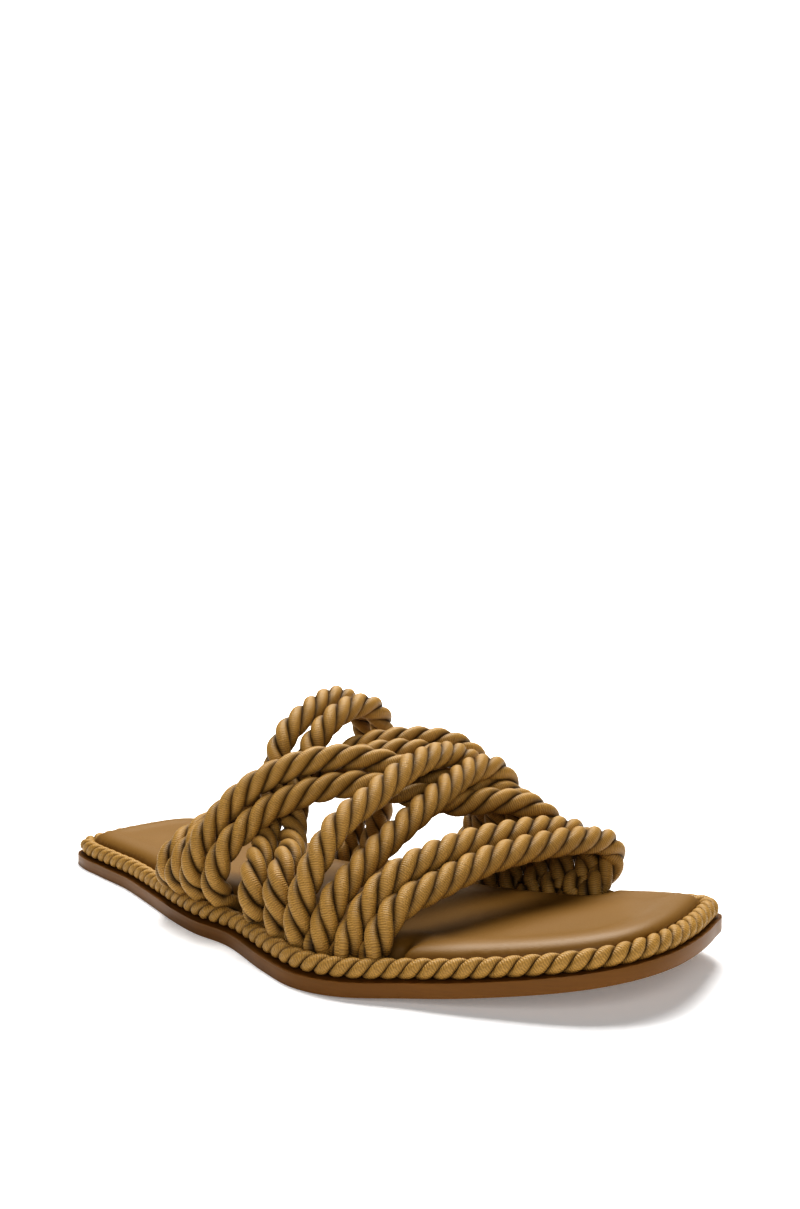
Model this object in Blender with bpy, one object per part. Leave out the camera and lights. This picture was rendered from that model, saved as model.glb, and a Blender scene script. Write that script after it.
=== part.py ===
"""Flat rope sandal for the right foot, open at toe and heel.

Four pieces: a thin outsole, a padded footbed, a rope welt that runs round the
footbed on the outsole's margin, and an upper of ten ropes in five pairs.
X points to the outside of the foot, Y to the toe and Z up. The origin is on
the floor, on the heel's middle line, halfway along the sole.
"""
import math

import bmesh
import bpy
import numpy as np

# Sole
SOLE_LENGTH = 0.244
BALL_WIDTH = 0.100
HEEL_WIDTH = 0.064
OUTSOLE_THICKNESS = 0.0041
OUTSOLE_EDGE_ROUND = 0.0007
FLAT_TREAD_LENGTH = 0.154
TOE_SPRING = 0.0108
TOE_SPRING_POWER = 1.8

# Footbed
FOOTBED_THICKNESS = 0.0072
FOOTBED_CROWN = 0.0006
FOOTBED_EDGE_ROUND = 0.0026

# Rope welt round the footbed
WELT_ROPE_DIAMETER = 0.0056
WELT_LIP = 0.0008

# Rope upper
ROPE_DIAMETER = 0.0086
INSTEP_HEIGHT = 0.0684
END_STRIP_HEIGHT = 0.0030
POCKET_SPARE = 0.0036

# Rope section: three strands laid left-handed
ROPE_LAY_IN_DIAMETERS = 2.1
WELT_LAY_IN_DIAMETERS = 3.2
STRANDS = 3
GROOVE_SHARE = 0.80

CLEARANCE = 0.0003

# Facets
SOLE_ROWS = 38
CURVE_STEPS = 24
RINGS_PER_LAY = 6

# Where the sole widens from heel to ball, as shares of its length
WIDENING = (0.20, 0.66)

# Outline of the outsole seen from above, from the heel's back round the
# outside to the toe and back along the inside:
# across = share of the width there, along = share of the length.
OUTLINE = (
    (0.250, 0.000), (0.431, 0.013), (0.494, 0.047), (0.534, 0.117), (0.570, 0.191),
    (0.625, 0.284), (0.633, 0.365), (0.612, 0.425), (0.565, 0.490), (0.583, 0.590),
    (0.598, 0.654), (0.574, 0.715), (0.492, 0.781), (0.427, 0.837), (0.294, 0.930),
    (0.215, 0.966), (0.125, 0.989), (0.020, 1.000), (-0.120, 0.998), (-0.280, 0.984),
    (-0.410, 0.964), (-0.460, 0.904), (-0.438, 0.789), (-0.397, 0.654), (-0.368, 0.523),
    (-0.375, 0.408), (-0.432, 0.283), (-0.469, 0.170), (-0.444, 0.084), (-0.375, 0.041),
    (-0.266, 0.017), (-0.094, 0.004),
)

# Routes of the ropes between their two feet at the edge of the footbed.
# lateral and medial = share of the length where the foot stands on each side.
# The stations between them hold:
# across = share of half the ball width, along = share of the length,
# height = share of the instep height above the floor.
ROPES = {
    "toe_front": {
        "lateral": 0.731, "medial": 0.800,
        "stations": (
            (0.897, 0.731, 0.219), (0.768, 0.733, 0.308), (0.478, 0.746, 0.373),
            (0.104, 0.762, 0.432), (-0.249, 0.780, 0.449), (-0.593, 0.795, 0.439),
            (-0.791, 0.802, 0.394), (-0.870, 0.807, 0.312), (-0.792, 0.805, 0.225)),
    },
    "toe_rear": {
        "lateral": 0.696, "medial": 0.775,
        "stations": (
            (0.942, 0.698, 0.209), (0.834, 0.703, 0.320), (0.684, 0.710, 0.402),
            (0.394, 0.722, 0.465), (0.103, 0.734, 0.490), (-0.198, 0.748, 0.495),
            (-0.490, 0.759, 0.480), (-0.719, 0.773, 0.428), (-0.814, 0.778, 0.331),
            (-0.772, 0.776, 0.215)),
    },
    "cross_front": {
        "lateral": 0.662, "medial": 0.674,
        "stations": (
            (0.993, 0.663, 0.219), (0.910, 0.664, 0.325), (0.651, 0.664, 0.442),
            (0.340, 0.661, 0.541), (0.017, 0.659, 0.635), (-0.254, 0.653, 0.692),
            (-0.493, 0.650, 0.717), (-0.660, 0.654, 0.680), (-0.744, 0.663, 0.563),
            (-0.776, 0.672, 0.350)),
    },
    "cross_rear": {
        "lateral": 0.626, "medial": 0.641,
        "stations": (
            (1.028, 0.628, 0.228), (0.992, 0.628, 0.334), (0.889, 0.629, 0.458),
            (0.723, 0.629, 0.579), (0.412, 0.630, 0.677), (0.100, 0.629, 0.764),
            (-0.140, 0.625, 0.789), (-0.380, 0.618, 0.774), (-0.578, 0.619, 0.714),
            (-0.693, 0.629, 0.583), (-0.756, 0.639, 0.379)),
    },
    "instep_front": {
        "lateral": 0.448, "medial": 0.738,
        "stations": (
            (0.932, 0.450, 0.264), (0.876, 0.460, 0.405), (0.788, 0.468, 0.470),
            (0.644, 0.487, 0.565), (0.428, 0.527, 0.649), (0.211, 0.565, 0.671),
            (-0.016, 0.606, 0.623), (-0.244, 0.647, 0.574), (-0.451, 0.687, 0.579),
            (-0.617, 0.715, 0.545), (-0.721, 0.730, 0.467), (-0.794, 0.738, 0.341)),
    },
    "instep_rear": {
        "lateral": 0.406, "medial": 0.705,
        "stations": (
            (0.941, 0.407, 0.263), (0.900, 0.415, 0.404), (0.828, 0.422, 0.484),
            (0.653, 0.453, 0.649), (0.437, 0.491, 0.749), (0.200, 0.534, 0.783),
            (-0.017, 0.574, 0.759), (-0.214, 0.608, 0.691), (-0.401, 0.635, 0.627),
            (-0.577, 0.662, 0.595), (-0.701, 0.684, 0.554), (-0.779, 0.700, 0.428),
            (-0.801, 0.706, 0.263)),
    },
    "back_front": {
        "lateral": 0.368, "medial": 0.609,
        "stations": (
            (0.918, 0.370, 0.234), (0.877, 0.375, 0.321), (0.764, 0.378, 0.389),
            (0.568, 0.402, 0.481), (0.351, 0.433, 0.554), (0.134, 0.470, 0.631),
            (-0.062, 0.510, 0.746), (-0.279, 0.538, 0.782), (-0.517, 0.567, 0.767),
            (-0.704, 0.588, 0.679), (-0.788, 0.601, 0.534), (-0.788, 0.608, 0.320)),
    },
    "back_rear": {
        "lateral": 0.335, "medial": 0.576,
        "stations": (
            (0.886, 0.337, 0.224), (0.835, 0.341, 0.311), (0.679, 0.345, 0.379),
            (0.483, 0.374, 0.471), (0.266, 0.405, 0.563), (0.050, 0.442, 0.650),
            (-0.146, 0.484, 0.769), (-0.342, 0.513, 0.806), (-0.560, 0.547, 0.806),
            (-0.726, 0.571, 0.767), (-0.840, 0.588, 0.679), (-0.872, 0.590, 0.524),
            (-0.821, 0.581, 0.320)),
    },
    "loop_rear": {
        "lateral": 0.538, "medial": 0.403,
        "stations": (
            (0.977, 0.535, 0.236), (0.925, 0.525, 0.333), (0.790, 0.506, 0.390),
            (0.643, 0.483, 0.429), (0.508, 0.458, 0.535), (0.409, 0.445, 0.670),
            (0.336, 0.437, 0.792), (0.227, 0.434, 0.879), (0.092, 0.434, 0.937),
            (-0.064, 0.430, 0.980), (-0.226, 0.426, 1.000), (-0.372, 0.422, 0.975),
            (-0.515, 0.420, 0.892), (-0.614, 0.414, 0.719), (-0.590, 0.410, 0.450)),
    },
    "loop_front": {
        "lateral": 0.587, "medial": 0.438,
        "stations": (
            (1.005, 0.587, 0.218), (0.969, 0.579, 0.334), (0.834, 0.564, 0.406),
            (0.666, 0.537, 0.420), (0.520, 0.506, 0.472), (0.384, 0.483, 0.579),
            (0.264, 0.471, 0.709), (0.176, 0.467, 0.806), (0.062, 0.466, 0.884),
            (-0.063, 0.466, 0.937), (-0.220, 0.464, 0.966), (-0.362, 0.465, 0.960),
            (-0.480, 0.464, 0.906), (-0.555, 0.460, 0.797), (-0.586, 0.456, 0.595),
            (-0.578, 0.448, 0.364)),
    },
}


def clear_scene():
    for thing in list(bpy.data.objects):
        bpy.data.objects.remove(thing, do_unlink=True)


def material(name, color, roughness):
    made = bpy.data.materials.new(name)
    made.use_nodes = True
    shader = made.node_tree.nodes["Principled BSDF"]
    shader.inputs["Base Color"].default_value = (*color, 1.0)
    shader.inputs["Roughness"].default_value = roughness
    shader.inputs["Metallic"].default_value = 0.0
    return made


def smooth_curve(points, steps, closed=False):
    """Points of an even-tempered Catmull-Rom curve through the given ones."""
    points = np.asarray(points, float)
    if closed:
        ends = np.vstack([points[-1:], points, points[:2]])
    else:
        ends = np.vstack([2 * points[0] - points[1], points, 2 * points[-1] - points[-2]])
    curve = []
    for first in range(len(ends) - 3):
        p0, p1, p2, p3 = ends[first:first + 4]
        knots = np.cumsum([0.0] + [max(np.linalg.norm(b - a), 1e-9) ** 0.5
                                   for a, b in ((p0, p1), (p1, p2), (p2, p3))])
        t0, t1, t2, t3 = knots
        for t in np.linspace(t1, t2, steps, endpoint=False):
            a1 = ((t1 - t) * p0 + (t - t0) * p1) / (t1 - t0)
            a2 = ((t2 - t) * p1 + (t - t1) * p2) / (t2 - t1)
            a3 = ((t3 - t) * p2 + (t - t2) * p3) / (t3 - t2)
            b1 = ((t2 - t) * a1 + (t - t0) * a2) / (t2 - t0)
            b2 = ((t3 - t) * a2 + (t - t1) * a3) / (t3 - t1)
            curve.append(((t2 - t) * b1 + (t - t1) * b2) / (t2 - t1))
    if not closed:
        curve.append(points[-1])
    return np.array(curve)


def even_points(curve, count, closed=False):
    """The curve cut into equal lengths."""
    line = np.vstack([curve, curve[:1]]) if closed else curve
    run = np.concatenate([[0.0], np.cumsum(np.linalg.norm(np.diff(line, axis=0), axis=1))])
    stops = np.linspace(0.0, run[-1], count, endpoint=not closed)
    return np.stack([np.interp(stops, run, line[:, k]) for k in range(line.shape[1])], -1)


def curve_length(curve, closed=False):
    line = np.vstack([curve, curve[:1]]) if closed else curve
    return float(np.linalg.norm(np.diff(line, axis=0), axis=1).sum())


def sole_width(along):
    share = min(max((along - WIDENING[0]) / (WIDENING[1] - WIDENING[0]), 0.0), 1.0)
    share = share * share * (3.0 - 2.0 * share)
    return HEEL_WIDTH + (BALL_WIDTH - HEEL_WIDTH) * share


def from_heel(along):
    """Y of a place given as a share of the length from the heel's back."""
    return (along - 0.5) * SOLE_LENGTH


def toe_lift(y):
    """How far toe spring lifts the sole off the floor."""
    past = max(y + 0.5 * SOLE_LENGTH - FLAT_TREAD_LENGTH, 0.0)
    return TOE_SPRING * (past / (SOLE_LENGTH - FLAT_TREAD_LENGTH)) ** TOE_SPRING_POWER


def sole_outline():
    corners = [(across * sole_width(along), from_heel(along)) for across, along in OUTLINE]
    return smooth_curve(corners, CURVE_STEPS, closed=True)


def inset_outline(inset):
    """The outline moved inwards by the same distance all round."""
    curve = sole_outline()
    ahead = np.roll(curve, -1, axis=0) - np.roll(curve, 1, axis=0)
    ahead /= np.linalg.norm(ahead, axis=1)[:, None]
    inwards = np.stack([-ahead[:, 1], ahead[:, 0]], -1)
    return curve + inset * inwards


def edge_x(inset, y, side):
    """X of the inset outline at y, on the outside (+1) or the inside (-1) of the foot."""
    curve = inset_outline(inset)
    low = int(np.argmin(curve[:, 1]))
    ring = np.roll(curve, -low, axis=0)
    high = int(np.argmax(ring[:, 1]))
    half = ring[:high + 1] if side > 0 else np.vstack([ring[high:], ring[:1]])[::-1]
    order = np.argsort(half[:, 1], kind="stable")
    return float(np.interp(y, half[order, 1], half[order, 0]))


def paired_edges(inset):
    """Rows of facing edge points from heel to toe, for a plate that follows the sole."""
    curve = inset_outline(inset)
    low, high = curve[:, 1].min(), curve[:, 1].max()
    rows = []
    for angle in np.linspace(0.0, math.pi, SOLE_ROWS + 2)[1:-1]:
        y = low + (high - low) * 0.5 * (1.0 - math.cos(angle))
        rows.append((y, edge_x(inset, y, -1), edge_x(inset, y, +1)))
    return rows


def new_object(name, bm, surface, smooth_angle=35.0):
    bmesh.ops.recalc_face_normals(bm, faces=bm.faces)
    mesh = bpy.data.meshes.new(name)
    bm.to_mesh(mesh)
    bm.free()
    mesh.materials.append(surface)
    mesh.shade_smooth()
    mesh.set_sharp_from_angle(angle=math.radians(smooth_angle))
    made = bpy.data.objects.new(name, mesh)
    bpy.context.scene.collection.objects.link(made)
    return made


def make_cutter(thing):
    thing.hide_render = True
    thing.display_type = "WIRE"
    return thing


def plate(name, profile, crown, columns, surface):
    """A sheet in the sole's shape. profile lists (inset, height) up the side wall."""
    bm = bmesh.new()
    loops = []
    for inset, height in profile:
        rows = paired_edges(inset)
        inside = [bm.verts.new((left, y, height + toe_lift(y))) for y, left, right in rows]
        outside = [bm.verts.new((right, y, height + toe_lift(y))) for y, left, right in rows]
        loops.append(inside + outside[::-1])
    around = len(loops[0])
    for lower, upper in zip(loops, loops[1:]):
        for k in range(around):
            after = (k + 1) % around
            bm.faces.new((lower[k], lower[after], upper[after], upper[k]))
    fill_cap(bm, loops[0], 0.0, 1)
    fill_cap(bm, loops[-1], crown, columns)
    return new_object(name, bm, surface)


def fill_cap(bm, loop, crown, columns):
    """Closes a loop of facing rows with cross strips, raised in the middle by crown."""
    rows = len(loop) // 2
    grid = []
    for row in range(rows):
        left, right = loop[row], loop[2 * rows - 1 - row]
        ends = math.sin(math.pi * (row + 0.5) / rows) ** 0.5
        line = [left]
        for column in range(1, columns):
            share = column / columns
            place = left.co.lerp(right.co, share)
            place.z += crown * ends * (1.0 - (2.0 * share - 1.0) ** 4)
            line.append(bm.verts.new(place))
        line.append(right)
        grid.append(line)
    for near, far in zip(grid, grid[1:]):
        for k in range(columns):
            bm.faces.new((near[k], near[k + 1], far[k + 1], far[k]))
    if columns > 1:
        bm.faces.new(grid[0])
        bm.faces.new(grid[-1][::-1])


def footbed_inset():
    return WELT_LIP + WELT_ROPE_DIAMETER + CLEARANCE


def build_outsole(surface):
    top = OUTSOLE_THICKNESS
    profile = (
        (OUTSOLE_EDGE_ROUND, 0.0),
        (0.0, OUTSOLE_EDGE_ROUND),
        (0.0, top - OUTSOLE_EDGE_ROUND),
        (OUTSOLE_EDGE_ROUND, top),
    )
    return plate("outsole", profile, 0.0, 1, surface)


def build_footbed(surface):
    edge = footbed_inset()
    base = OUTSOLE_THICKNESS + CLEARANCE
    top = base + FOOTBED_THICKNESS
    turn = FOOTBED_EDGE_ROUND
    profile = (
        (edge, base),
        (edge, top - turn),
        (edge + 0.3 * turn, top - 0.29 * turn),
        (edge + turn, top),
    )
    bed = plate("footbed", profile, FOOTBED_CROWN, 4, surface)
    for name, side, start, end in foot_clusters():
        pocket = edge_block(name + "_pocket", side, start, end,
                            edge - 2.0 * CLEARANCE,
                            edge + ROPE_DIAMETER + POCKET_SPARE,
                            base - FOOTBED_THICKNESS, top + FOOTBED_THICKNESS,
                            0.5 * POCKET_SPARE, surface)
        make_cutter(pocket)
        cut = bed.modifiers.new(name, "BOOLEAN")
        cut.operation = "DIFFERENCE"
        cut.object = pocket
    return bed


def foot_clusters():
    """The groups of rope feet: (name, side, first share of length, last share)."""
    groups = (
        ("back_outside", +1, ("back_rear", "instep_front")),
        ("front_outside", +1, ("loop_rear", "toe_front")),
        ("back_inside", -1, ("loop_rear", "loop_front")),
        ("front_inside", -1, ("back_rear", "toe_front")),
    )
    half = 0.5 * ROPE_DIAMETER / SOLE_LENGTH
    clusters = []
    for name, side, (first, last) in groups:
        key = "lateral" if side > 0 else "medial"
        clusters.append((name, side, ROPES[first][key] - half, ROPES[last][key] + half))
    return clusters


def edge_block(name, side, start, end, outer, inner, low, high, overhang, surface):
    """A block along the edge of the sole between two insets and two shares of its length."""
    spare = overhang / SOLE_LENGTH
    shares = np.linspace(start - spare, end + spare, max(3, int((end - start) * 40)))
    bm = bmesh.new()
    rings = []
    for share in shares:
        y = from_heel(share)
        lift = toe_lift(y)
        corners = []
        for inset, z in ((outer, low), (inner, low), (inner, high), (outer, high)):
            corners.append(bm.verts.new((edge_x(inset, y, side), y, z + lift)))
        rings.append(corners)
    for near, far in zip(rings, rings[1:]):
        for k in range(4):
            bm.faces.new((near[k], near[(k + 1) % 4], far[(k + 1) % 4], far[k]))
    bm.faces.new(rings[0])
    bm.faces.new(rings[-1][::-1])
    return new_object(name, bm, surface)


def rope_section(diameter, turn):
    """Corners of the rope's section: a strand and a groove by turns."""
    corners = []
    for k in range(2 * STRANDS):
        radius = 0.5 * diameter * (1.0 if k % 2 == 0 else GROOVE_SHARE)
        angle = turn + math.pi * k / STRANDS
        corners.append((radius * math.cos(angle), radius * math.sin(angle)))
    return corners


def carried_frames(points, closed):
    """Two cross directions at each point, carried along the curve without spin."""
    if closed:
        ahead = np.roll(points, -1, axis=0) - np.roll(points, 1, axis=0)
    else:
        ahead = np.gradient(points, axis=0)
    ahead /= np.linalg.norm(ahead, axis=1)[:, None]
    side = np.cross(ahead[0], (0.0, 0.0, 1.0))
    if np.linalg.norm(side) < 0.1:
        side = np.cross(ahead[0], (0.0, 1.0, 0.0))
    frames = []
    for direction in ahead:
        side = side - direction * np.dot(side, direction)
        side = side / np.linalg.norm(side)
        frames.append((side, np.cross(direction, side)))
    return frames


def rope_solid(name, curve, diameter, lay, closed, surface):
    """A rope of three strands swept along the curve, laid left-handed."""
    step = lay * diameter / RINGS_PER_LAY
    count = max(6, round(curve_length(curve, closed) / step))
    if closed:
        count = 2 * round(count / 2)
    points = even_points(curve, count, closed)
    frames = carried_frames(points, closed)
    spin = -2.0 * math.pi / RINGS_PER_LAY
    bm = bmesh.new()
    rings = []
    for k, (point, (side, up)) in enumerate(zip(points, frames)):
        ring = [bm.verts.new(point + a * side + b * up)
                for a, b in rope_section(diameter, k * spin)]
        rings.append(ring)
    pairs = list(zip(rings, rings[1:]))
    if closed:
        pairs.append((rings[-1], rings[0]))
    for near, far in pairs:
        offset = closing_offset(near, far) if near is rings[-1] else 0
        for k in range(len(near)):
            after = (k + 1) % len(near)
            bm.faces.new((near[k], near[after],
                          far[(after + offset) % len(far)], far[(k + offset) % len(far)]))
    if not closed:
        bm.faces.new(rings[0])
        bm.faces.new(rings[-1][::-1])
    return new_object(name, bm, surface, 60.0)


def closing_offset(last, first):
    """How many corners the first ring is turned where a closed rope meets itself."""
    def spread(offset):
        return sum((last[k].co - first[(k + offset) % len(first)].co).length
                   for k in range(len(last)))
    return min(range(len(first)), key=spread)


def welt_curve():
    inset = WELT_LIP + 0.5 * WELT_ROPE_DIAMETER
    height = OUTSOLE_THICKNESS + CLEARANCE + 0.5 * WELT_ROPE_DIAMETER
    return np.array([(x, y, height + toe_lift(y)) for x, y in inset_outline(inset)])


def build_welt(surface):
    return rope_solid("rope_welt", welt_curve(), WELT_ROPE_DIAMETER, WELT_LAY_IN_DIAMETERS,
                      True, surface)


def foot_points(side, along):
    """The two lowest points of a rope, in the pocket between welt and footbed."""
    y = from_heel(along)
    x = edge_x(footbed_inset() + CLEARANCE + 0.5 * ROPE_DIAMETER, y, side)
    floor = OUTSOLE_THICKNESS + CLEARANCE + toe_lift(y)
    return (x, y, floor + 0.2 * END_STRIP_HEIGHT), (x, y, floor + END_STRIP_HEIGHT)


def pushed_off_welt(curve):
    """The rope's middle line, moved clear wherever it would press into the welt."""
    welt = welt_curve()
    room = 0.5 * (ROPE_DIAMETER + WELT_ROPE_DIAMETER) + 1.5 * CLEARANCE
    moved = []
    for point in curve:
        away = point - welt
        gaps = np.linalg.norm(away, axis=1)
        near = int(np.argmin(gaps))
        if gaps[near] < room:
            point = welt[near] + away[near] * (room / gaps[near])
        moved.append(point)
    return np.array(moved)


def rope_route(rope):
    low, rise = foot_points(+1, rope["lateral"])
    middle = [(0.5 * across * BALL_WIDTH, from_heel(along), height * INSTEP_HEIGHT)
              for across, along, height in rope["stations"]]
    far_low, far_rise = foot_points(-1, rope["medial"])
    curve = smooth_curve([low, rise] + middle + [far_rise, far_low], CURVE_STEPS // 2)
    return pushed_off_welt(curve)


def build_upper(surface):
    ropes = [rope_solid("rope_" + name, rope_route(rope), ROPE_DIAMETER,
                        ROPE_LAY_IN_DIAMETERS, False, surface)
             for name, rope in ROPES.items()]
    base = OUTSOLE_THICKNESS + CLEARANCE
    edge = footbed_inset() + CLEARANCE
    strips = [edge_block(name + "_strip", side, start, end, edge, edge + ROPE_DIAMETER,
                         base, base + END_STRIP_HEIGHT, -CLEARANCE, surface)
              for name, side, start, end in foot_clusters()]
    upper = ropes[0]
    upper.name = "rope_upper"
    for other in ropes[1:] + strips:
        make_cutter(other)
        join = upper.modifiers.new(other.name, "BOOLEAN")
        join.operation = "UNION"
        join.object = other
    return upper


def main():
    clear_scene()
    build_outsole(material("outsole_leather", (0.19, 0.10, 0.035), 0.5))
    build_footbed(material("footbed_leather", (0.46, 0.27, 0.12), 0.42))
    rope = material("satin_rope", (0.42, 0.24, 0.085), 0.45)
    build_welt(rope)
    build_upper(rope)


main()
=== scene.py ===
"""The looks of a flat rope sandal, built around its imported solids.

Ten twisted ropes make the upper, an eleventh one runs round the padded footbed,
and all of it stands on a thin leather outsole. Lengths are in metres. X points to
the outside of the right foot, Y to the toe and Z up.
"""
import math
import random

import bpy
import numpy as np
from bpy.props import FloatProperty, FloatVectorProperty, IntProperty, PointerProperty
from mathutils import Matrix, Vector


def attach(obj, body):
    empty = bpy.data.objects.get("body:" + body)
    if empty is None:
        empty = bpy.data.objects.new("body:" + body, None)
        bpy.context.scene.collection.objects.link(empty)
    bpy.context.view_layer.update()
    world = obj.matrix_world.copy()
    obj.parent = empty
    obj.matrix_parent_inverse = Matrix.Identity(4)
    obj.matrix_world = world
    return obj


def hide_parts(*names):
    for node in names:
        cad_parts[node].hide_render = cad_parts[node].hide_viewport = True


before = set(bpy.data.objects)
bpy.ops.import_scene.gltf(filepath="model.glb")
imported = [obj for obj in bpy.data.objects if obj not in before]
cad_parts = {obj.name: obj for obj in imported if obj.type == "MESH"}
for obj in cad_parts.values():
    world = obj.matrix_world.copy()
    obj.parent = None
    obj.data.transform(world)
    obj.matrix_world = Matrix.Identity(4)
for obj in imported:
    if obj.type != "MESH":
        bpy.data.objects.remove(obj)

bl_info = {
    "name": "Rope Sandal",
    "version": (1, 0, 0),
    "blender": (4, 5, 0),
    "location": "3D View > Sidebar > Sandal",
    "description": "Builds a flat rope sandal around its packed solids",
    "category": "Object",
}

# Where the sole widens from heel to ball, as shares of its length
WIDENING = (0.20, 0.66)

# Outline of the outsole: (share of the width there, share of the length)
OUTLINE = (
    (0.250, 0.000), (0.431, 0.013), (0.494, 0.047), (0.534, 0.117), (0.570, 0.191),
    (0.625, 0.284), (0.633, 0.365), (0.612, 0.425), (0.565, 0.490), (0.583, 0.590),
    (0.598, 0.654), (0.574, 0.715), (0.492, 0.781), (0.427, 0.837), (0.294, 0.930),
    (0.215, 0.966), (0.125, 0.989), (0.020, 1.000), (-0.120, 0.998), (-0.280, 0.984),
    (-0.410, 0.964), (-0.460, 0.904), (-0.438, 0.789), (-0.397, 0.654), (-0.368, 0.523),
    (-0.375, 0.408), (-0.432, 0.283), (-0.469, 0.170), (-0.444, 0.084), (-0.375, 0.041),
    (-0.266, 0.017), (-0.094, 0.004),
)

# Routes of the ropes, close to the part's: where the outer and the inner foot stand
# along the sole, and stations (share of half the ball width, share of the length,
# share of the instep)
ROPES = {
    "toe_front": (0.731, 0.796, (
        (0.897, 0.731, 0.219), (0.768, 0.733, 0.308), (0.478, 0.746, 0.373), (0.104, 0.762, 0.432),
        (-0.249, 0.780, 0.449), (-0.600, 0.797, 0.439), (-0.840, 0.803, 0.394),
        (-0.905, 0.803, 0.312), (-0.800, 0.797, 0.225))),
    "toe_rear": (0.696, 0.767, (
        (0.942, 0.698, 0.209), (0.834, 0.703, 0.320), (0.684, 0.710, 0.402), (0.394, 0.722, 0.465),
        (0.103, 0.734, 0.490), (-0.198, 0.748, 0.495), (-0.490, 0.759, 0.480),
        (-0.755, 0.770, 0.428), (-0.862, 0.775, 0.331), (-0.805, 0.770, 0.215))),
    "cross_front": (0.662, 0.674, (
        (0.993, 0.663, 0.219), (0.910, 0.664, 0.325), (0.651, 0.664, 0.442), (0.340, 0.661, 0.541),
        (0.017, 0.659, 0.635), (-0.254, 0.653, 0.692), (-0.493, 0.650, 0.717),
        (-0.660, 0.654, 0.680), (-0.744, 0.663, 0.563), (-0.776, 0.672, 0.350))),
    "cross_rear": (0.626, 0.641, (
        (1.028, 0.628, 0.228), (0.992, 0.628, 0.334), (0.889, 0.629, 0.458), (0.723, 0.629, 0.579),
        (0.412, 0.630, 0.677), (0.100, 0.629, 0.764), (-0.140, 0.625, 0.789),
        (-0.380, 0.618, 0.774), (-0.578, 0.619, 0.714), (-0.693, 0.629, 0.583),
        (-0.756, 0.639, 0.379))),
    "instep_front": (0.448, 0.738, (
        (0.932, 0.450, 0.264), (0.876, 0.460, 0.405), (0.788, 0.468, 0.470), (0.644, 0.487, 0.565),
        (0.428, 0.527, 0.649), (0.211, 0.565, 0.671), (-0.016, 0.606, 0.623),
        (-0.244, 0.647, 0.574), (-0.451, 0.687, 0.579), (-0.617, 0.715, 0.545),
        (-0.721, 0.731, 0.467), (-0.812, 0.742, 0.341))),
    "instep_rear": (0.406, 0.705, (
        (0.941, 0.407, 0.263), (0.900, 0.415, 0.404), (0.828, 0.422, 0.484), (0.653, 0.453, 0.649),
        (0.437, 0.491, 0.749), (0.200, 0.534, 0.783), (-0.017, 0.574, 0.746),
        (-0.214, 0.608, 0.680), (-0.401, 0.635, 0.620), (-0.577, 0.662, 0.595),
        (-0.701, 0.684, 0.554), (-0.779, 0.700, 0.428), (-0.801, 0.706, 0.263))),
    "back_front": (0.368, 0.609, (
        (0.918, 0.370, 0.234), (0.877, 0.375, 0.321), (0.764, 0.378, 0.389), (0.568, 0.402, 0.481),
        (0.351, 0.433, 0.554), (0.134, 0.470, 0.631), (-0.062, 0.510, 0.746),
        (-0.279, 0.540, 0.768), (-0.517, 0.567, 0.738), (-0.704, 0.588, 0.660),
        (-0.788, 0.601, 0.534), (-0.788, 0.608, 0.320))),
    "back_rear": (0.335, 0.576, (
        (0.886, 0.337, 0.224), (0.835, 0.341, 0.311), (0.679, 0.345, 0.379), (0.483, 0.374, 0.471),
        (0.266, 0.405, 0.563), (0.050, 0.442, 0.650), (-0.146, 0.484, 0.769),
        (-0.342, 0.513, 0.806), (-0.560, 0.547, 0.806), (-0.726, 0.571, 0.767),
        (-0.840, 0.588, 0.679), (-0.872, 0.590, 0.524), (-0.821, 0.581, 0.320))),
    "loop_rear": (0.538, 0.403, (
        (0.977, 0.535, 0.236), (0.925, 0.525, 0.333), (0.790, 0.506, 0.390), (0.643, 0.483, 0.429),
        (0.508, 0.458, 0.535), (0.409, 0.445, 0.670), (0.336, 0.437, 0.792), (0.227, 0.434, 0.879),
        (0.092, 0.434, 0.937), (-0.064, 0.430, 0.980), (-0.226, 0.426, 1.000),
        (-0.372, 0.422, 0.975), (-0.515, 0.420, 0.892), (-0.614, 0.414, 0.719),
        (-0.590, 0.410, 0.450))),
    "loop_front": (0.587, 0.438, (
        (1.005, 0.587, 0.218), (0.969, 0.579, 0.334), (0.834, 0.564, 0.406), (0.666, 0.537, 0.420),
        (0.520, 0.506, 0.472), (0.384, 0.483, 0.579), (0.264, 0.471, 0.709), (0.176, 0.467, 0.806),
        (0.062, 0.466, 0.884), (-0.063, 0.466, 0.937), (-0.220, 0.464, 0.966),
        (-0.362, 0.465, 0.960), (-0.480, 0.464, 0.906), (-0.555, 0.460, 0.797),
        (-0.586, 0.456, 0.595), (-0.578, 0.448, 0.364))),
}

# Groups of rope feet that the footbed gives way to: (side, first rope, last rope)
FOOT_GROUPS = (
    (+1, "back_rear", "instep_front"),
    (+1, "loop_rear", "toe_front"),
    (-1, "loop_rear", "loop_front"),
    (-1, "back_rear", "toe_front"),
)
POCKET_DEPTH = 0.0085
POCKET_RAMP = 0.004

# Rope feet: how far inside the footbed's edge, as a share of the rope's diameter, and
# the heights above the outsole that their lines start through
FOOT_INSET = 0.10
FOOT_HEIGHTS = (0.0010, 0.0035)

# Least distance between the lines of two ropes, as a share of their diameters together
ROPE_ROOM = 0.38

# How the strands sit in their rope, as shares of the rope's diameter
STRAND_OFFSET = 0.258
STRAND_HEIGHT = 0.242
UPPER_STRAND_WIDTH = 0.256
WELT_STRAND_WIDTH = 0.31

UPPER_STRANDS = 3
WELT_STRANDS = 2
UPPER_SEED = 20
WELT_SEED = 5

# How unevenly a rope is laid: drift of its turns, and swelling of its strands
DRIFT = 0.10
SWELLING = 0.018

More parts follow.
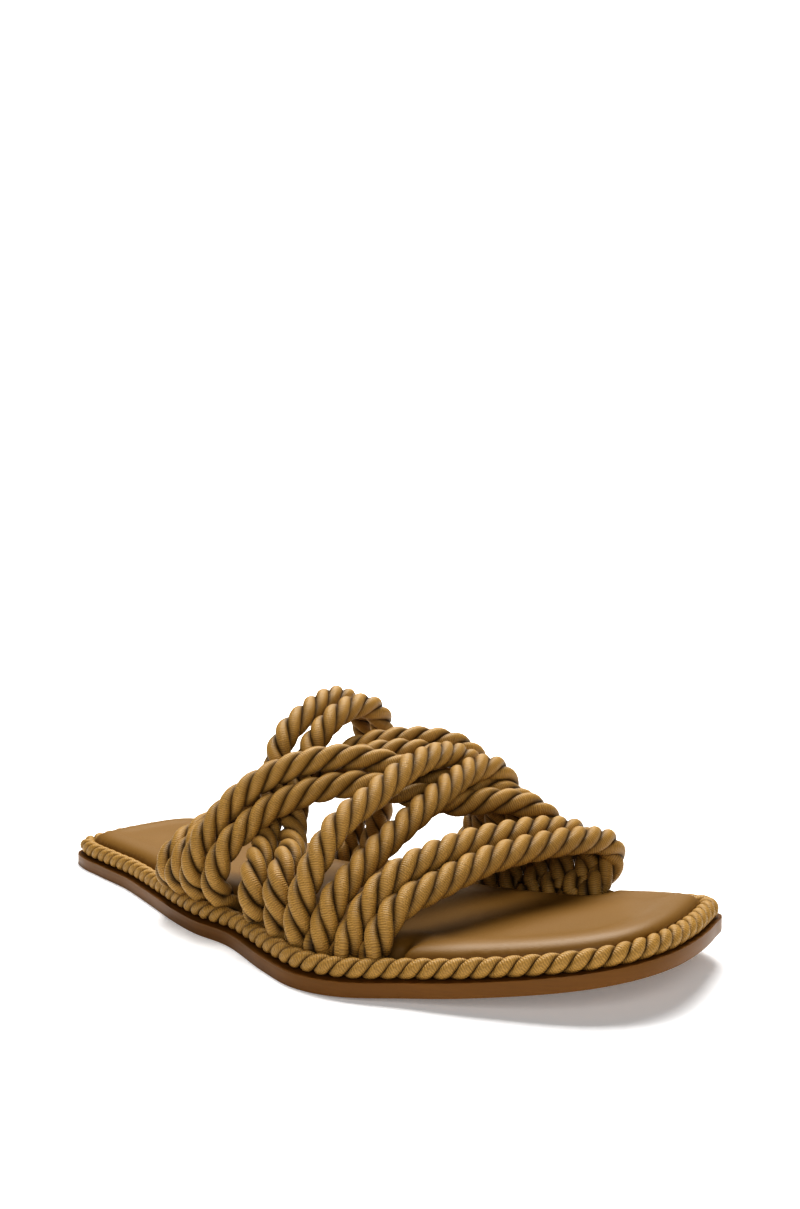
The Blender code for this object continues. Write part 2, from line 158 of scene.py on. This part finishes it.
# Shares of the rope's radius between which the painted shade of the grooves turns to the rope's
# own colour at the crest
CREST = (0.62, 1.0)

# Footbed: drop of its rolled edge, the low ridge beside it (height, distance from the
# edge, spread) and the distances from the edge over which the crown rises
ROLL_DROP = 0.0034
RIDGE = (0.0005, 0.007, 0.0035)
CROWN_RISE = (0.010, 0.034)

# Studio: soft lights (place, target, size) and the floor's glow
KEY_LIGHT = ((-0.38, -0.30, 0.98), (0.0, 0.0, 0.03), 0.9)
FILL_LIGHT = ((0.75, 0.75, 0.55), (0.0, 0.03, 0.03), 0.6)
FLOOR_SIZE = 12.0
GLOW_NEAR = 0.14
GLOW_FROM = 0.15
GLOW_TO = 0.50


class SandalSole(bpy.types.PropertyGroup):
    length: FloatProperty(name="Length", description="Heel to toe, along the outsole",
                          default=0.244, unit="LENGTH")
    ball_width: FloatProperty(name="Ball width", description="Width across the ball of the foot",
                              default=0.100, unit="LENGTH")
    heel_width: FloatProperty(name="Heel width", description="Width across the heel",
                              default=0.064, unit="LENGTH")
    outsole: FloatProperty(name="Outsole", description="Thickness of the outsole",
                           default=0.0041, unit="LENGTH")
    tread: FloatProperty(name="Flat tread", description="Length that rests on the floor",
                         default=0.154, unit="LENGTH")
    toe_spring: FloatProperty(name="Toe spring", description="How high the toe's tip is lifted",
                              default=0.0108, unit="LENGTH")
    spring_power: FloatProperty(name="Spring curve", description="How late the toe lifts",
                                default=1.8)
    bed: FloatProperty(name="Footbed", description="Thickness of the padded footbed at its edge",
                       default=0.0072, unit="LENGTH")
    bed_crown: FloatProperty(name="Footbed crown", description="Extra height in the middle",
                             default=0.0004, unit="LENGTH")
    bed_roll: FloatProperty(name="Rolled edge", description="Width of the footbed's rounded edge",
                            default=0.0046, unit="LENGTH")


class SandalRope(bpy.types.PropertyGroup):
    diameter: FloatProperty(name="Upper rope", description="Diameter of the upper's ropes",
                            default=0.0088, unit="LENGTH")
    lay: FloatProperty(name="Lay", description="One turn of a strand, in rope diameters",
                       default=2.45)
    welt: FloatProperty(name="Welt rope", description="Diameter of the rope round the footbed",
                        default=0.0056, unit="LENGTH")
    welt_lay: FloatProperty(name="Welt lay", description="One turn of a strand, in diameters",
                            default=1.74)
    welt_lip: FloatProperty(name="Lip", description="Outsole that shows outside the welt",
                            default=0.0008, unit="LENGTH")
    instep: FloatProperty(name="Instep", description="Height of the highest rope's middle line",
                          default=0.0684, unit="LENGTH")
    thread: FloatProperty(name="Thread", description="Width of one wound thread",
                          default=0.00055, unit="LENGTH")
    sides: IntProperty(name="Sides", description="Corners round a strand", default=12)
    rings: IntProperty(name="Rings", description="Rings in one turn of a strand", default=32)


class SandalColours(bpy.types.PropertyGroup):
    rope: FloatVectorProperty(name="Rope", description="Colour of the satin thread",
                              subtype="COLOR", default=(0.350, 0.205, 0.056))
    # Painted shade: the dark colour laid into the grooves between the strands
    groove_painted_shade: FloatVectorProperty(name="Rope grooves", description="Thread between the strands",
                                subtype="COLOR", default=(0.020, 0.008, 0.001))
    bed: FloatVectorProperty(name="Footbed", description="Colour of the footbed's leather",
                             subtype="COLOR", default=(0.196, 0.104, 0.021))
    outsole: FloatVectorProperty(name="Outsole", description="Colour of the outsole's edge",
                                 subtype="COLOR", default=(0.155, 0.066, 0.009))
    floor: FloatVectorProperty(name="Floor", description="Colour of the studio floor",
                               subtype="COLOR", default=(0.93, 0.93, 0.93))


class SandalStage(bpy.types.PropertyGroup):
    camera_place: FloatVectorProperty(name="Camera", description="Where the camera stands",
                                      subtype="TRANSLATION", default=(0.2696, 0.2677, 0.11934))
    camera_turn: FloatVectorProperty(name="Camera turn", description="Which way the camera looks",
                                     subtype="EULER",
                                     default=(math.radians(87.38), 0.0, math.radians(132.2)))
    lens: FloatProperty(name="Lens", description="Focal length in millimetres", default=51.78)
    world: FloatProperty(name="Room light", description="Strength of the light from all round",
                         default=0.030)
    sheen: FloatProperty(name="Sheen light", description="More room light in reflections only",
                         default=0.12)
    key: FloatProperty(name="Key light", description="Power of the large soft light",
                       default=20.0, unit="POWER")
    fill: FloatProperty(name="Fill light", description="Power of the light beside the camera",
                        default=4.6, unit="POWER")


def settings():
    """Where the sandal's property groups are kept."""
    return bpy.context.scene


# Shapes shared by the pieces


def smooth_curve(points, steps, closed=False):
    """Points of a centripetal Catmull-Rom curve through the given ones."""
    points = np.asarray(points, float)
    if closed:
        ends = np.vstack([points[-1:], points, points[:2]])
    else:
        ends = np.vstack([2 * points[0] - points[1], points, 2 * points[-1] - points[-2]])
    curve = []
    for first in range(len(ends) - 3):
        p0, p1, p2, p3 = ends[first:first + 4]
        knots = np.cumsum([0.0] + [max(np.linalg.norm(b - a), 1e-9) ** 0.5
                                   for a, b in ((p0, p1), (p1, p2), (p2, p3))])
        t0, t1, t2, t3 = knots
        for t in np.linspace(t1, t2, steps, endpoint=False):
            a1 = ((t1 - t) * p0 + (t - t0) * p1) / (t1 - t0)
            a2 = ((t2 - t) * p1 + (t - t1) * p2) / (t2 - t1)
            a3 = ((t3 - t) * p2 + (t - t2) * p3) / (t3 - t2)
            b1 = ((t2 - t) * a1 + (t - t0) * a2) / (t2 - t0)
            b2 = ((t3 - t) * a2 + (t - t1) * a3) / (t3 - t1)
            curve.append(((t2 - t) * b1 + (t - t1) * b2) / (t2 - t1))
    if not closed:
        curve.append(points[-1])
    return np.array(curve)


def run_lengths(line):
    """Distance run along a line, at each of its points."""
    return np.concatenate([[0.0], np.cumsum(np.linalg.norm(np.diff(line, axis=0), axis=1))])


def even_points(curve, count, closed=False):
    """The curve cut into equal lengths."""
    line = np.vstack([curve, curve[:1]]) if closed else curve
    run = run_lengths(line)
    stops = np.linspace(0.0, run[-1], count, endpoint=not closed)
    return np.stack([np.interp(stops, run, line[:, k]) for k in range(line.shape[1])], -1)


def smoothstep(low, high, value):
    """Soft rise from 0 at low to 1 at high."""
    share = np.clip((value - low) / (high - low), 0.0, 1.0)
    return share * share * (3.0 - 2.0 * share)


def from_heel(along):
    """Y at a share of the sole's length."""
    return (along - 0.5) * settings().sandal_sole.length


def toe_lift(y):
    """How high the toe spring lifts the sole at y."""
    sole = settings().sandal_sole
    past = np.maximum(y + 0.5 * sole.length - sole.tread, 0.0)
    return sole.toe_spring * (past / (sole.length - sole.tread)) ** sole.spring_power


def inset_outline(inset):
    """The outsole's outline moved inwards, as X and Y."""
    sole = settings().sandal_sole
    corners = []
    for across, along in OUTLINE:
        share = float(smoothstep(*WIDENING, along))
        width = sole.heel_width + (sole.ball_width - sole.heel_width) * share
        corners.append((across * width, from_heel(along)))
    curve = smooth_curve(corners, 24, closed=True)
    ahead = np.roll(curve, -1, axis=0) - np.roll(curve, 1, axis=0)
    ahead /= np.linalg.norm(ahead, axis=1)[:, None]
    return curve + inset * np.stack([-ahead[:, 1], ahead[:, 0]], -1)


def edges_at(curve, y):
    """X of a closed outline at each y: on the inside and on the outside of the foot."""
    ring = np.roll(curve, -int(np.argmin(curve[:, 1])), axis=0)
    high = int(np.argmax(ring[:, 1]))
    found = []
    for half in (np.vstack([ring[high:], ring[:1]]), ring[:high + 1]):
        order = np.argsort(half[:, 1], kind="stable")
        found.append(np.interp(y, half[order, 1], half[order, 0]))
    return found


def footbed_inset():
    """Distance from the outsole's edge to the footbed's."""
    rope = settings().sandal_rope
    return rope.welt_lip + rope.welt


def welt_line():
    """Middle line of the rope round the footbed."""
    rope = settings().sandal_rope
    flat = inset_outline(rope.welt_lip + 0.5 * rope.welt)
    height = settings().sandal_sole.outsole + 0.5 * rope.welt
    return np.column_stack([flat, height + toe_lift(flat[:, 1])])


def rope_line(lateral, medial, stations):
    """Middle line of one rope of the upper, from its outer foot to its inner one."""
    sole, rope = settings().sandal_sole, settings().sandal_rope
    edge = inset_outline(footbed_inset() + FOOT_INSET * rope.diameter)
    feet = []
    for side, along in ((1, lateral), (0, medial)):
        y = from_heel(along)
        x = float(edges_at(edge, y)[side])
        floor = sole.outsole + float(toe_lift(y))
        feet.append([(x, y, floor + height) for height in FOOT_HEIGHTS])
    middle = [(0.5 * across * sole.ball_width, from_heel(along), height * rope.instep)
              for across, along, height in stations]
    curve = smooth_curve(feet[0] + middle + feet[1][::-1], 16)
    return pushed_off(curve, welt_line(), ROPE_ROOM * (rope.diameter + rope.welt))


def pushed_off(curve, other, room):
    """The curve moved clear wherever it comes closer to the other line than room."""
    moved = []
    for point in curve:
        away = point - other
        gaps = np.linalg.norm(away, axis=1)
        near = int(np.argmin(gaps))
        if gaps[near] < room:
            point = other[near] + away[near] * (room / gaps[near])
        moved.append(point)
    return np.array(moved)


# Strands


def travelling_frames(points):
    """Two cross directions at each point, carried along the line without spin."""
    ahead = np.gradient(points, axis=0)
    ahead /= np.linalg.norm(ahead, axis=1)[:, None]
    side = np.cross(ahead[0], (0.0, 1.0, 0.0))
    sides = []
    for direction in ahead:
        side = side - direction * np.dot(side, direction)
        side = side / np.linalg.norm(side)
        sides.append(side)
    sides = np.array(sides)
    return sides, np.cross(ahead, sides)


def level_frames(points):
    """Cross directions of a closed line that lies nearly flat: outwards and up."""
    ahead = np.roll(points, -1, axis=0) - np.roll(points, 1, axis=0)
    ahead /= np.linalg.norm(ahead, axis=1)[:, None]
    sides = np.cross(ahead, (0.0, 0.0, 1.0))
    sides /= np.linalg.norm(sides, axis=1)[:, None]
    return sides, np.cross(ahead, sides)


def strand_tubes(points, frames, turns, diameter, closed, seed, strands, width):
    """Strands laid left-handed round a line: corners, faces, UVs and depth into the grooves, which
    paints shade there.
    """
    rope = settings().sandal_rope
    sides = rope.sides
    chance = random.Random(seed)
    start = chance.uniform(0.0, 2.0 * math.pi)
    count = len(points)
    share = np.arange(count) / (count if closed else count - 1)
    drift = 0.0 if closed else DRIFT * np.sin(2.0 * math.pi * (share * 2.3 + chance.random()))
    side, up = frames
    corners, faces, uvs, depths = [], [], [], []
    for strand in range(strands):
        angle = start + 2.0 * math.pi * strand / strands - 2.0 * math.pi * turns * share + drift
        out = np.cos(angle)[:, None] * side + np.sin(angle)[:, None] * up
        wave = share * round(turns * 0.7) + chance.random()
        swell = 1.0 + SWELLING * np.sin(2.0 * math.pi * wave)
        centre = points + out * (STRAND_OFFSET * diameter * swell)[:, None]
        if closed:
            ahead = np.roll(centre, -1, axis=0) - np.roll(centre, 1, axis=0)
        else:
            ahead = np.gradient(centre, axis=0)
        ahead /= np.linalg.norm(ahead, axis=1)[:, None]
        radial = out - ahead * np.sum(out * ahead, axis=1)[:, None]
        radial /= np.linalg.norm(radial, axis=1)[:, None]
        across = np.cross(ahead, radial)
        first = len(corners) * count * sides
        ring = 2.0 * math.pi * np.arange(sides) / sides
        place = (centre[:, None, :]
                 + STRAND_HEIGHT * diameter * np.cos(ring)[None, :, None] * radial[:, None, :]
                 + width * diameter * np.sin(ring)[None, :, None] * across[:, None, :])
        # How far each corner stands from the rope's axis, turned into the share that paints shade
        # into the grooves
        reach = np.linalg.norm(place - points[:, None, :], axis=2) / (0.5 * diameter)
        depths.append(smoothstep(*CREST, reach).ravel())
        corners.append(place.reshape(-1, 3))
        line = np.vstack([centre, centre[:1]]) if closed else centre
        run = run_lengths(line) / rope.thread
        rows = count if closed else count - 1
        for row in range(rows):
            after = (row + 1) % count
            for k in range(sides):
                nxt = (k + 1) % sides
                faces.append((first + row * sides + k, first + row * sides + nxt,
                              first + after * sides + nxt, first + after * sides + k))
                uvs += [(k / sides, run[row]), ((k + 1) / sides, run[row]),
                        ((k + 1) / sides, run[row + 1]), (k / sides, run[row + 1])]
        if not closed:
            for row, step in ((0, -1), (count - 1, 1)):
                cap = [first + row * sides + k for k in range(sides)][::step]
                faces.append(cap)
                uvs += [(0.5, run[row])] * sides
    return np.vstack(corners), faces, uvs, np.concatenate(depths)


def rope_object(name, line, diameter, lay, closed, seed, strands, width):
    """A rope as a mesh of wound strands along the line."""
    rope = settings().sandal_rope
    whole = np.vstack([line, line[:1]]) if closed else line
    turns = run_lengths(whole)[-1] / (lay * diameter)
    if closed:
        turns = round(turns)
    points = even_points(line, max(8, round(turns * rope.rings)), closed)
    frames = level_frames(points) if closed else travelling_frames(points)
    corners, faces, uvs, depths = strand_tubes(points, frames, turns, diameter, closed, seed,
                                               strands, width)
    mesh = bpy.data.meshes.new(name)
    mesh.from_pydata(corners.tolist(), [], faces)
    threads = mesh.uv_layers.new(name="Threads")
    threads.data.foreach_set("uv", np.array(uvs, np.float32).ravel())
    # Depth into the grooves, which the thread's finish turns into painted shade
    crest = mesh.attributes.new("crest", "FLOAT", "POINT")
    crest.data.foreach_set("value", depths.astype(np.float32))
    made = bpy.data.objects.new(name, mesh)
    bpy.context.scene.collection.objects.link(made)
    select_only(made)
    bpy.ops.object.mode_set(mode="EDIT")
    bpy.ops.mesh.select_all(action="SELECT")
    bpy.ops.mesh.normals_make_consistent(inside=False)
    bpy.ops.object.mode_set(mode="OBJECT")
    bpy.ops.object.shade_smooth()
    return made


# Working with objects


def clear_selection():
    bpy.ops.object.select_all(action="DESELECT")


def select_only(thing):
    clear_selection()
    thing.select_set(True)
    bpy.context.view_layer.objects.active = thing


def settle(piece, node, surface):
    """Gives a finished piece its finish and ties it to the solids."""
    if piece.location.length > 1e-9:
        raise RuntimeError(f"{piece.name} isn't at the origin")
    piece.data.materials.clear()
    piece.data.materials.append(surface)
    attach(piece, "root")
    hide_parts(node)


# Materials


class Number:
    """A socket that can be used in sums, which add their Math nodes."""

    def __init__(self, tree, socket):
        self.tree = tree
        self.socket = socket

    def reckon(self, operation, *values):
        made = self.tree.nodes.new("ShaderNodeMath")
        made.operation = operation
        for slot, value in zip(made.inputs, values):
            if isinstance(value, Number):
                self.tree.links.new(value.socket, slot)
            else:
                slot.default_value = value
        return Number(self.tree, made.outputs[0])

    def __add__(self, other):
        return self.reckon("ADD", self, other)

    __radd__ = __add__

    def __sub__(self, other):
        return self.reckon("SUBTRACT", self, other)

    def __rsub__(self, other):
        return self.reckon("SUBTRACT", other, self)

    def __mul__(self, other):
        return self.reckon("MULTIPLY", self, other)

    __rmul__ = __mul__

    def sine(self):
        return self.reckon("SINE", self)


class Finish:
    """One material and the nodes that make it."""

    def __init__(self, name, constants):
        self.material = bpy.data.materials.new(name)
        self.material.use_nodes = True
        self.tree = self.material.node_tree
        self.shader = self.tree.nodes["Principled BSDF"]
        for socket, value in constants.items():
            self.shader.inputs[socket].default_value = value

    def node(self, kind, setup=None, output=0, **sockets):
        """Any node. Its inputs go by name, or by i and their number."""
        made = self.tree.nodes.new("ShaderNode" + kind)
        for name, value in (setup or {}).items():
            setattr(made, name, value)
        for name, value in sockets.items():
            slot = made.inputs[int(name[1:]) if name[0] == "i" and name[1:].isdigit() else name]
            if isinstance(value, Number):
                self.tree.links.new(value.socket, slot)
            else:
                slot.default_value = value
        return Number(self.tree, made.outputs[output])

    def blend(self, share, low, high):
        """A colour between two others."""
        low = low if isinstance(low, Number) else (*low, 1.0)
        high = high if isinstance(high, Number) else (*high, 1.0)
        return self.node("Mix", {"data_type": "RGBA"}, 2, i0=share, i6=low, i7=high)

    def noise(self, coordinates, scale, detail=2.0, roughness=0.5):
        return self.node("TexNoise", None, 0, Vector=coordinates, Scale=scale,
                         Detail=detail, Roughness=roughness)

    def place(self):
        """Object coordinates, in metres."""
        return self.node("TexCoord", None, 3)

    def split(self, vector, axis):
        return self.node("SeparateXYZ", None, axis, Vector=vector)

    def feed(self, socket, value):
        self.tree.links.new(value.socket, self.shader.inputs[socket])

    def bump(self, height, distance, strength=1.0):
        normal = self.node("Bump", None, 0, Height=height, Distance=distance, Strength=strength)
        self.feed("Normal", normal)


def scaled(colour, factor):
    """A colour made lighter or darker."""
    return tuple(min(channel * factor, 1.0) for channel in colour)


def rope_finish():
    """Satin thread wound round each strand, with painted shade in the grooves between strands and
    between the wound threads.
    """
    found = bpy.data.materials.get("wound_satin_thread")
    if found:
        return found
    colours = settings().sandal_colours
    rope_colour, groove_painted_shade = tuple(colours.rope), tuple(colours.groove_painted_shade)
    finish = Finish("wound_satin_thread", {"Specular IOR Level": 0.26, "Sheen Weight": 0.03,
                                           "Sheen Roughness": 0.35})
    threads = finish.node("UVMap", {"uv_map": "Threads"}, 0)
    around, along = finish.split(threads, 0), finish.split(threads, 1)
    crest = finish.node("Attribute", {"attribute_name": "crest"}, 2)
    place = finish.place()
    single = finish.node("TexNoise", {"noise_dimensions": "1D"}, 0, W=along, Scale=1.0,
                         Detail=1.0)
    cloud = finish.noise(place, 90.0, 3.0)
    # Stripes across the wound threads: in the colour they paint shade into the creases between
    # threads, in the bump they raise the threads
    ribs = ((along + around * 0.6) * (2.0 * math.pi)).sine() * 0.5 + 0.5
    # Thread colour: random tone from the noises, with painted shade from the rib stripes
    tone = finish.blend(single * 0.35 + cloud * 0.25 + ribs * 0.4, scaled(rope_colour, 0.58),
                        scaled(rope_colour, 1.46))
    # Painted shade: the grooves between the strands take the dark shade colour
    colour = finish.blend(crest, groove_painted_shade, tone)
    finish.feed("Base Color", colour)
    finish.feed("Roughness", 0.52 - crest * 0.08 + cloud * 0.06)
    finish.bump(ribs * 0.7 + single * 0.5, 0.00013)
    return finish.material


def bed_finish():
    """Soft tan leather with a fine grain and a low sheen."""
    colours = settings().sandal_colours
    tan = tuple(colours.bed)
    finish = Finish("footbed_leather", {"Specular IOR Level": 0.27, "Coat Weight": 0.03,
                                        "Coat Roughness": 0.3})
    place = finish.place()
    cloud = finish.noise(place, 22.0, 4.0, 0.55)
    fine = finish.noise(place, 1500.0, 3.0, 0.6)
    pores = finish.node("TexVoronoi", {"feature": "DISTANCE_TO_EDGE"}, 0, Vector=place,
                        Scale=1300.0)
    finish.feed("Base Color", finish.blend(cloud, scaled(tan, 0.9), scaled(tan, 1.1)))
    finish.feed("Roughness", 0.40 + fine * 0.12 + cloud * 0.05)
    finish.bump(pores * 0.5 + fine * 0.5 + cloud * 0.6, 0.00009, 0.7)
    return finish.material


def outsole_finish():
    """Dyed and waxed leather edge, with faint lines along the layers."""
    colours = settings().sandal_colours
    brown = tuple(colours.outsole)
    finish = Finish("outsole_leather", {"Specular IOR Level": 0.25})
    place = finish.place()
    stretched = finish.node("Mapping", None, 0, Vector=place, Scale=(60.0, 60.0, 1400.0))
    layers = finish.noise(stretched, 1.0, 3.0, 0.6)
    cloud = finish.noise(place, 40.0, 3.0)
    tone = finish.blend(layers * 0.6 + cloud * 0.4, scaled(brown, 0.72), scaled(brown, 1.28))
    finish.feed("Base Color", tone)
    finish.feed("Roughness", 0.36 + cloud * 0.14)
    finish.bump(layers, 0.00006, 0.6)
    return finish.material


def floor_finish():
    """Pale floor that glows away from the sandal, so it meets the background unseen."""
    finish = Finish("studio_floor", {"Roughness": 0.9, "Specular IOR Level": 0.0,
                                     "Emission Strength": 1.0})
    floor = tuple(settings().sandal_colours.floor)
    reach = finish.node("VectorMath", {"operation": "LENGTH"}, 1, i0=finish.place())
    far = finish.node("MapRange", {"interpolation_type": "SMOOTHSTEP"}, 0, Value=reach,
                      **{"From Min": GLOW_FROM, "From Max": GLOW_TO})
    finish.feed("Base Color", finish.blend(far, floor, scaled(floor, 0.97)))
    finish.feed("Emission Color", finish.blend(far, (GLOW_NEAR,) * 3, (1.0,) * 3))
    return finish.material


# Pieces


class SANDAL_OT_outsole(bpy.types.Operator):
    """Adds the thin outsole with rounded edges and toe spring"""
    bl_idname = "sandal.outsole"
    bl_label = "Outsole"

    def execute(self, context):
        sole = context.scene.sandal_sole
        outline = even_points(inset_outline(0.0), 360, closed=True)
        clear_selection()
        bpy.ops.mesh.primitive_circle_add(vertices=len(outline), radius=0.1, fill_type="NGON")
        piece = context.object
        piece.name = piece.data.name = "leather_outsole"
        for vertex, (x, y) in zip(piece.data.vertices, outline):
            vertex.co = (x, y, 0.0)
        bpy.ops.object.mode_set(mode="EDIT")
        bpy.ops.mesh.select_all(action="SELECT")
        bpy.ops.mesh.extrude_region_move(
            TRANSFORM_OT_translate={"value": (0.0, 0.0, sole.outsole)})
        for y in np.linspace(-0.49, 0.49, 90) * sole.length:
            bpy.ops.mesh.select_all(action="SELECT")
            bpy.ops.mesh.bisect(plane_co=(0.0, y, 0.0), plane_no=(0.0, 1.0, 0.0))
        bpy.ops.mesh.select_all(action="SELECT")
        bpy.ops.mesh.normals_make_consistent(inside=False)
        bpy.ops.object.mode_set(mode="OBJECT")
        bevel = piece.modifiers.new("rounded_edges", "BEVEL")
        bevel.width = 0.0006
        bevel.segments = 3
        bevel.limit_method = "ANGLE"
        bevel.angle_limit = math.radians(60.0)
        bpy.ops.object.modifier_apply(modifier=bevel.name)
        for vertex in piece.data.vertices:
            vertex.co.z += float(toe_lift(vertex.co.y))
        bpy.ops.object.shade_smooth_by_angle(angle=math.radians(35.0))
        settle(piece, "outsole", outsole_finish())
        return {"FINISHED"}


class SANDAL_OT_footbed(bpy.types.Operator):
    """Adds the padded footbed, rolled at its edge and pressed in beside the ropes"""
    bl_idname = "sandal.footbed"
    bl_label = "Footbed"

    def execute(self, context):
        sole, rope = context.scene.sandal_sole, context.scene.sandal_rope
        rows, columns = 320, 44
        edge = inset_outline(footbed_inset())
        low, high = edge[:, 1].min(), edge[:, 1].max()
        turn = np.linspace(0.0, math.pi, rows + 1)
        even = np.linspace(0.0, 1.0, rows + 1)
        y = low + (high - low) * (0.6 * 0.5 * (1.0 - np.cos(turn)) + 0.4 * even)
        y[0] += 0.00004
        y[-1] -= 0.00004
        inside, outside = edges_at(edge, y)
        for side, first, last in FOOT_GROUPS:
            column = 0 if side > 0 else 1
            start = from_heel(ROPES[first][column]) - 0.5 * rope.diameter
            end = from_heel(ROPES[last][column]) + 0.5 * rope.diameter
            room = POCKET_DEPTH * smoothstep(start - POCKET_RAMP, start + 0.0005, y)
            room = room * (1.0 - smoothstep(end - 0.0005, end + POCKET_RAMP, y))
            if side > 0:
                outside = outside - room
            else:
                inside = inside + room
        share = np.linspace(0.0, 1.0, columns + 1)
        share = 0.5 * share + 0.25 * (1.0 - np.cos(math.pi * share))
        x = inside[:, None] + (outside - inside)[:, None] * share[None, :]
        rim = np.vstack([np.column_stack([inside, y]), np.column_stack([outside, y])[::-1]])
        rim = even_points(rim, 1400, closed=True)
        flat = np.column_stack([x.ravel(), np.repeat(y, columns + 1)])
        depth = np.array([np.min(np.hypot(rim[:, 0] - px, rim[:, 1] - py)) for px, py in flat])
        fall = np.clip(1.0 - depth / sole.bed_roll, 0.0, 1.0)
        top = sole.bed - ROLL_DROP * (1.0 - np.sqrt(np.maximum(1.0 - fall ** 2, 0.0)))
        ridge_height, ridge_place, ridge_spread = RIDGE
        top += ridge_height * np.exp(-((depth - ridge_place) / ridge_spread) ** 2)
        top += sole.bed_crown * smoothstep(*CROWN_RISE, depth)
        z = sole.outsole + top + toe_lift(flat[:, 1])
        clear_selection()
        bpy.ops.mesh.primitive_grid_add(x_subdivisions=columns, y_subdivisions=rows, size=0.1)
        piece = context.object
        piece.name = piece.data.name = "padded_footbed"
        piece.data.vertices.foreach_set("co", np.column_stack([flat, z]).ravel())
        bpy.ops.object.mode_set(mode="EDIT")
        bpy.ops.mesh.select_all(action="DESELECT")
        bpy.ops.mesh.select_mode(type="EDGE")
        bpy.ops.mesh.select_non_manifold()
        bpy.ops.mesh.extrude_region_move(
            TRANSFORM_OT_translate={"value": (0.0, 0.0, -0.001)})
        bpy.ops.mesh.edge_face_add()
        bpy.ops.mesh.select_all(action="SELECT")
        bpy.ops.mesh.normals_make_consistent(inside=False)
        bpy.ops.object.mode_set(mode="OBJECT")
        for vertex in piece.data.vertices[len(flat):]:
            vertex.co.z = sole.outsole + float(toe_lift(vertex.co.y))
        bpy.ops.object.shade_smooth_by_angle(angle=math.radians(50.0))
        settle(piece, "footbed", bed_finish())
        return {"FINISHED"}


class SANDAL_OT_welt(bpy.types.Operator):
    """Adds the rope that runs round the footbed"""
    bl_idname = "sandal.welt"
    bl_label = "Rope welt"

    def execute(self, context):
        rope = context.scene.sandal_rope
        piece = rope_object("welt_rope", welt_line(), rope.welt, rope.welt_lay, True,
                            WELT_SEED, WELT_STRANDS, WELT_STRAND_WIDTH)
        settle(piece, "rope_welt", rope_finish())
        return {"FINISHED"}


class SANDAL_OT_upper(bpy.types.Operator):
    """Adds the ten ropes of the upper"""
    bl_idname = "sandal.upper"
    bl_label = "Rope upper"

    def execute(self, context):
        rope = context.scene.sandal_rope
        for turn, (name, route) in enumerate(ROPES.items()):
            piece = rope_object("rope_" + name, rope_line(*route), rope.diameter, rope.lay,
                                False, UPPER_SEED + turn, UPPER_STRANDS, UPPER_STRAND_WIDTH)
            settle(piece, "rope_upper", rope_finish())
        return {"FINISHED"}


class SANDAL_OT_stage(bpy.types.Operator):
    """Adds the floor, the soft studio light and the camera"""
    bl_idname = "sandal.stage"
    bl_label = "Stage"

    def execute(self, context):
        stage = context.scene.sandal_stage
        clear_selection()
        bpy.ops.mesh.primitive_plane_add(size=FLOOR_SIZE)
        floor = context.object
        floor.name = floor.data.name = "floor"
        floor.data.materials.append(floor_finish())
        world = bpy.data.worlds.new("studio")
        context.scene.world = world
        world.use_nodes = True
        tree = world.node_tree
        background = tree.nodes["Background"]
        background.inputs["Color"].default_value = (1.0, 1.0, 1.0, 1.0)
        path = tree.nodes.new("ShaderNodeLightPath")
        lit = Number(tree, path.outputs["Is Camera Ray"]) * (1.0 - stage.world) + stage.world
        lit = lit + Number(tree, path.outputs["Is Glossy Ray"]) * stage.sheen
        tree.links.new(lit.socket, background.inputs["Strength"])
        self.softbox("key", *KEY_LIGHT, stage.key)
        self.softbox("fill", *FILL_LIGHT, stage.fill)
        data = bpy.data.cameras.new("camera")
        data.sensor_fit = "HORIZONTAL"
        data.sensor_width = 36.0
        data.lens = stage.lens
        data.clip_start = 0.01
        camera = bpy.data.objects.new("camera", data)
        camera.location = stage.camera_place
        camera.rotation_euler = stage.camera_turn
        context.scene.collection.objects.link(camera)
        context.scene.camera = camera
        context.scene.view_settings.view_transform = "Standard"
        context.scene.view_settings.look = "High Contrast"
        return {"FINISHED"}

    def softbox(self, name, place, target, size, power):
        data = bpy.data.lights.new(name, "AREA")
        data.shape = "SQUARE"
        data.size = size
        data.energy = power
        light = bpy.data.objects.new(name, data)
        light.location = place
        aim = Vector(target) - Vector(place)
        light.rotation_euler = aim.to_track_quat("-Z", "Y").to_euler()
        bpy.context.scene.collection.objects.link(light)


class SANDAL_PT_panel(bpy.types.Panel):
    """Lists the sandal's pieces and sizes"""
    bl_label = "Rope Sandal"
    bl_idname = "SANDAL_PT_panel"
    bl_space_type = "VIEW_3D"
    bl_region_type = "UI"
    bl_category = "Sandal"

    def draw(self, context):
        for operator in OPERATORS:
            self.layout.operator(operator.bl_idname)
        for name in GROUPS:
            group = getattr(context.scene, name)
            box = self.layout.box()
            for setting in group.bl_rna.properties.keys():
                if setting not in ("rna_type", "name"):
                    box.prop(group, setting)


GROUPS = {
    "sandal_sole": SandalSole,
    "sandal_rope": SandalRope,
    "sandal_colours": SandalColours,
    "sandal_stage": SandalStage,
}
OPERATORS = (SANDAL_OT_outsole, SANDAL_OT_footbed, SANDAL_OT_welt, SANDAL_OT_upper,
             SANDAL_OT_stage)


def register():
    for group in (*GROUPS.values(), *OPERATORS, SANDAL_PT_panel):
        bpy.utils.register_class(group)
    for name, group in GROUPS.items():
        setattr(bpy.types.Scene, name, PointerProperty(type=group))


def unregister():
    for name in GROUPS:
        delattr(bpy.types.Scene, name)
    for group in (SANDAL_PT_panel, *reversed(OPERATORS), *GROUPS.values()):
        bpy.utils.unregister_class(group)


def main():
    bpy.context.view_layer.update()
    register()
    bpy.ops.sandal.outsole()
    bpy.ops.sandal.footbed()
    bpy.ops.sandal.welt()
    bpy.ops.sandal.upper()
    bpy.ops.sandal.stage()


if __name__ == "__main__":
    main()
